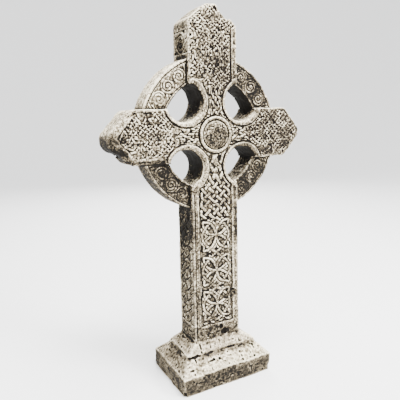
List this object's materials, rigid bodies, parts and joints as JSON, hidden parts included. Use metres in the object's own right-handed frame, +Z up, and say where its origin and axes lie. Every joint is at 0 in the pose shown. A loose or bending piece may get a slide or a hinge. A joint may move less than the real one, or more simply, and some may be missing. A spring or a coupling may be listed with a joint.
{
  "type": "ringed cross memorial",
  "caption": "Freestanding ringed cross in cast stone, with gabled arms, an open ring, knotwork panels and a domed boss, cast with its stepped plinth.",
  "frame": {"origin": "centre of the plinth's underside", "axes": "+Z up the shaft, +X along the arms to the right seen from the front, -Y out of the carved front face"},
  "size_m": [0.335, 0.1186, 0.6],
  "materials": {
    "cast_stone": "weathered grey-buff cast stone, fine pitted grain, dark grime in the carving"
  },
  "bodies": {
    "root": {"ringed_cross": "cast_stone"}
  },
  "joints": []
}
